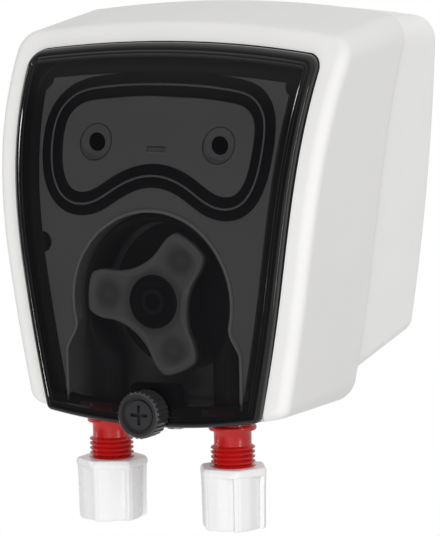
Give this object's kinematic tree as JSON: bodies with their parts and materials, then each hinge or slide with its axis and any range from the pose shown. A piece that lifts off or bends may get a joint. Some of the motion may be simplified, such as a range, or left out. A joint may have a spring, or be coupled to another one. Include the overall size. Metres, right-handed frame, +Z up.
{
  "type": "peristaltic dosing pump",
  "caption": "Wall-mounted peristaltic dosing pump with a smoked pull-off cover, roller rotor, geared motor, and threaded hose connectors with union nuts.",
  "frame": {"origin": "centre of the wall bracket's back, on the wall plane", "axes": "+X to the right seen from the front, +Y into the wall, +Z up"},
  "size_m": [0.1206, 0.0958, 0.1612],
  "materials": {
    "housing_plastic": "fine satin moulded, warm off-white",
    "panel_plastic": "satin moulded, light grey",
    "black_plastic": "satin moulded, black",
    "rubber_black": "matt elastomer",
    "pump_tube": "matt elastomer tube, dark buff",
    "smoked_glass": "glossy smoked transparent plastic",
    "roller_plastic": "smooth engineering plastic, natural",
    "red_plastic": "smooth moulded, saturated red",
    "nut_plastic": "smooth, slightly translucent white",
    "steel": "plain",
    "brass": "turned",
    "cast_metal": "die cast",
    "board": "laminate",
    "capacitor": "sleeved"
  },
  "bodies": {
    "pump": {"front_housing": "housing_plastic", "rear_housing": "housing_plastic", "housing_gasket": "rubber_black", "housing_screws": "steel", "wall_bracket": "steel", "cover_gasket": "rubber_black", "pump_head": "panel_plastic", "window_seal": "rubber_black", "head_screws": "steel", "head_rear_screws": "steel", "connector_clamp": "black_plastic", "thread_insert": "brass", "clamp_screw": "steel", "inlet_connector": "red_plastic", "outlet_connector": "red_plastic", "hose_clamp_rings": "steel", "pump_tube": "pump_tube", "gearbox_plate": "steel", "gearbox_case": "cast_metal", "gearbox_mid_plate": "roller_plastic", "lay_pin": "steel", "output_bush": "brass", "shaft_seal": "rubber_black", "gearbox_screws": "steel", "motor_can": "steel", "motor_end_cap": "black_plastic", "motor_bush": "brass", "motor_magnets": "steel", "control_board": "board", "board_screws": "steel", "terminal_block": "black_plastic", "power_supply_block": "board", "capacitors": "capacitor", "cable_gland": "black_plastic", "gland_locknut": "black_plastic"},
    "cover": {"smoked_cover": "smoked_glass"},
    "thumbscrew": {"cover_thumbscrew": "black_plastic", "retaining_ring": "steel"},
    "rotor": {"rotor_front_plate": "panel_plastic", "rotor_core": "black_plastic", "roller_pins": "steel", "rotor_screw": "steel", "rotor_cap": "black_plastic", "output_shaft": "steel", "output_gear": "roller_plastic"},
    "roller_1": {"roller_1": "roller_plastic"},
    "roller_2": {"roller_2": "roller_plastic"},
    "roller_3": {"roller_3": "roller_plastic"},
    "lay_gear": {"lay_gear": "roller_plastic"},
    "armature": {"motor_armature": "steel", "motor_pinion": "brass"},
    "inlet_nut": {"inlet_nut": "nut_plastic"},
    "outlet_nut": {"outlet_nut": "nut_plastic"},
    "gland_nut": {"gland_dome_nut": "black_plastic"}
  },
  "joints": [
    {"name": "cover_pull", "type": "slide", "parent": "pump", "child": "cover", "axis": [0, -1, 0], "range_m": [0, 0.06]},
    {"name": "thumbscrew_turn", "type": "hinge", "parent": "cover", "child": "thumbscrew", "pos_m": [0, -0.088, -0.058], "axis": [0, 1, 0], "continuous": true},
    {"name": "rotor_turn", "type": "hinge", "parent": "pump", "child": "rotor", "pos_m": [0, -0.076, -0.0238], "axis": [0, 1, 0], "continuous": true},
    {"name": "roller_1_spin", "type": "hinge", "parent": "rotor", "child": "roller_1", "pos_m": [-0.01929, -0.0748, -0.02177], "axis": [0, 1, 0], "continuous": true},
    {"name": "roller_2_spin", "type": "hinge", "parent": "rotor", "child": "roller_2", "pos_m": [0.0114, -0.0748, -0.00811], "axis": [0, 1, 0], "continuous": true},
    {"name": "roller_3_spin", "type": "hinge", "parent": "rotor", "child": "roller_3", "pos_m": [0.00789, -0.0748, -0.04152], "axis": [0, 1, 0], "continuous": true},
    {"name": "lay_gear_turn", "type": "hinge", "parent": "pump", "child": "lay_gear", "pos_m": [0, -0.048, 0.0002], "axis": [0, 1, 0], "continuous": true},
    {"name": "armature_turn", "type": "hinge", "parent": "pump", "child": "armature", "pos_m": [0, -0.03, -0.0238], "axis": [0, 1, 0], "continuous": true},
    {"name": "inlet_nut_turn", "type": "hinge", "parent": "pump", "child": "inlet_nut", "pos_m": [-0.02195, -0.0748, -0.085], "axis": [0, 0, 1], "continuous": true},
    {"name": "outlet_nut_turn", "type": "hinge", "parent": "pump", "child": "outlet_nut", "pos_m": [0.02195, -0.0748, -0.085], "axis": [0, 0, 1], "continuous": true},
    {"name": "gland_nut_turn", "type": "hinge", "parent": "pump", "child": "gland_nut", "pos_m": [-0.016, -0.022, -0.066], "axis": [0, 0, 1], "continuous": true}
  ],
  "couplings": [
    {"joint": "roller_1_spin", "follows": "rotor_turn", "ratio": -5.2174},
    {"joint": "roller_2_spin", "follows": "rotor_turn", "ratio": -5.2174},
    {"joint": "roller_3_spin", "follows": "rotor_turn", "ratio": -5.2174},
    {"joint": "lay_gear_turn", "follows": "rotor_turn", "ratio": -4},
    {"joint": "armature_turn", "follows": "rotor_turn", "ratio": 16}
  ]
}
